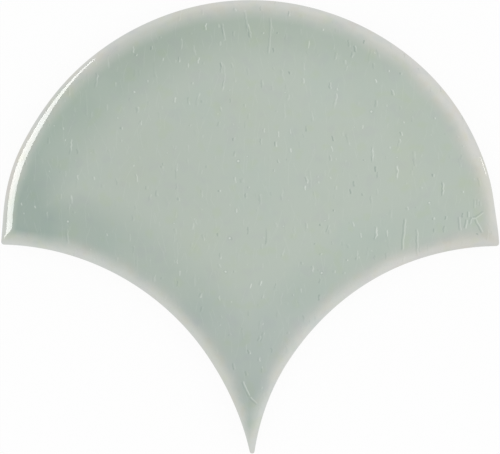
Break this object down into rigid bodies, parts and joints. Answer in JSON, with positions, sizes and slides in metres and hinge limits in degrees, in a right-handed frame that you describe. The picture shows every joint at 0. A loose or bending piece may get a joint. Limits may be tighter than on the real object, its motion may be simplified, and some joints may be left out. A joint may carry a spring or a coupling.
{
  "type": "fish scale tile",
  "caption": "Fish scale wall tile of glazed ceramic: round crown, hollow sides that nest round its neighbours, a narrow tip, soft rounded face edges and a ribbed back.",
  "frame": {"origin": "centre of the crown's arc, on the plane of the back's rib faces", "axes": "+Z out of the glazed face, +Y towards the top of the crown, +X to the right as the face is seen"},
  "size_m": [0.12, 0.109, 0.008],
  "materials": {
    "glaze": "glossy pale celadon crackle glaze, lighter along the edges"
  },
  "bodies": {
    "root": {"fish_scale_tile": "glaze"}
  },
  "joints": []
}
